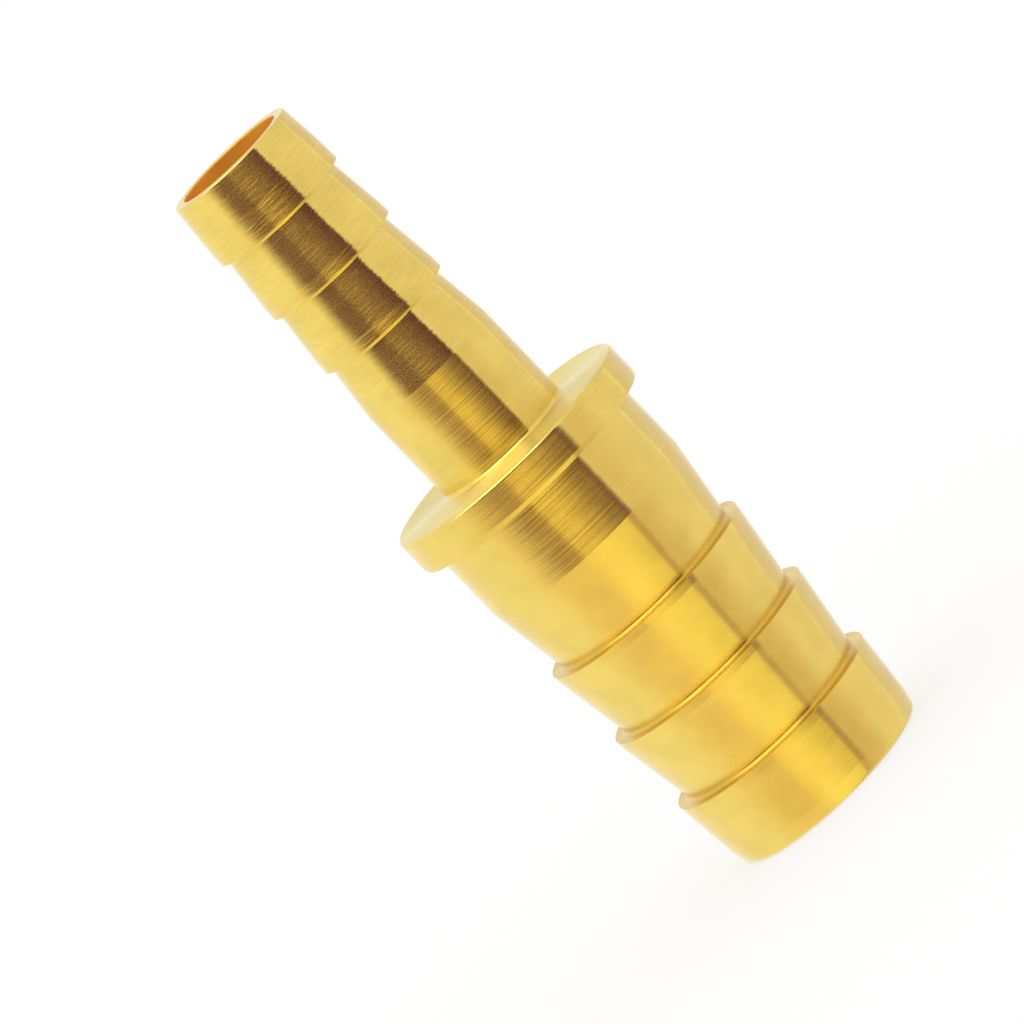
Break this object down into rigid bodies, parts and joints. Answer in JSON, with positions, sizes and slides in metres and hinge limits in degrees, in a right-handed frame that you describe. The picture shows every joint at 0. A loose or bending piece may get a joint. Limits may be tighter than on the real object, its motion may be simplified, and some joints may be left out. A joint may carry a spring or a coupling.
{
  "type": "hose barb reducer",
  "caption": "Straight brass reducer that joins a narrow hose to a wider one, with a barbed shank at each end and a stop flange between them.",
  "frame": {"origin": "centre of the large end's face, on the turning axis", "axes": "+Z along the turning axis, from the large end towards the small end; the part is round, so X and Y are free"},
  "size_m": [0.0198, 0.0198, 0.06],
  "materials": {
    "brass": "bright turned brass, unplated, with fine turning marks"
  },
  "bodies": {
    "root": {"reducer_body": "brass"}
  },
  "joints": []
}
